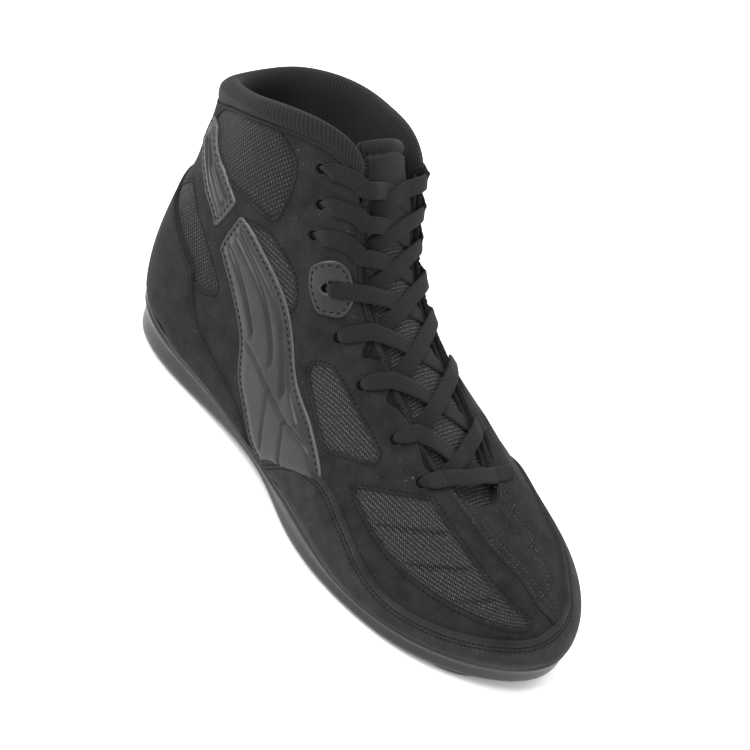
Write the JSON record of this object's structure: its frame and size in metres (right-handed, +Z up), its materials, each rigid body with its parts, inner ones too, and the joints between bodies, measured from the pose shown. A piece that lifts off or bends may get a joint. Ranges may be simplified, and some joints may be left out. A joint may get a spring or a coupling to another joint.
{
  "type": "wrestling shoe",
  "caption": "Right ankle-high wrestling shoe: hollow last-shaped upper with padded collar, lacing and thin rubber sole with ringed pods.",
  "frame": {"origin": "on the ground under the middle of the shoe's bounding box", "axes": "+X from heel to toe, +Y to the medial side, +Z up"},
  "size_m": [0.2832, 0.1038, 0.1626],
  "materials": {
    "rubber": "moulded rubber, satin",
    "suede": "brushed suede, matt",
    "foam": "knit over foam",
    "mesh": "woven mesh",
    "knit": "ribbed jersey over foam",
    "smooth_leather": "smooth synthetic leather, satin",
    "lace": "flat woven lace"
  },
  "bodies": {
    "root": {"outsole": "rubber", "upper": "suede", "insole": "foam", "tongue": "mesh", "tongue_patch": "suede", "collar": "knit", "mudguard": "suede", "heel_counter": "suede", "eyestay": "suede", "saddle_lateral": "smooth_leather", "saddle_medial": "smooth_leather", "eyelet_tab_lateral": "smooth_leather", "eyelet_tab_medial": "smooth_leather", "lace_bar": "lace", "lace_crossing_1": "lace", "lace_crossing_2": "lace", "lace_crossing_3": "lace", "lace_crossing_4": "lace", "lace_crossing_5": "lace", "lace_crossing_6": "lace", "lace_crossing_7": "lace"}
  },
  "joints": []
}
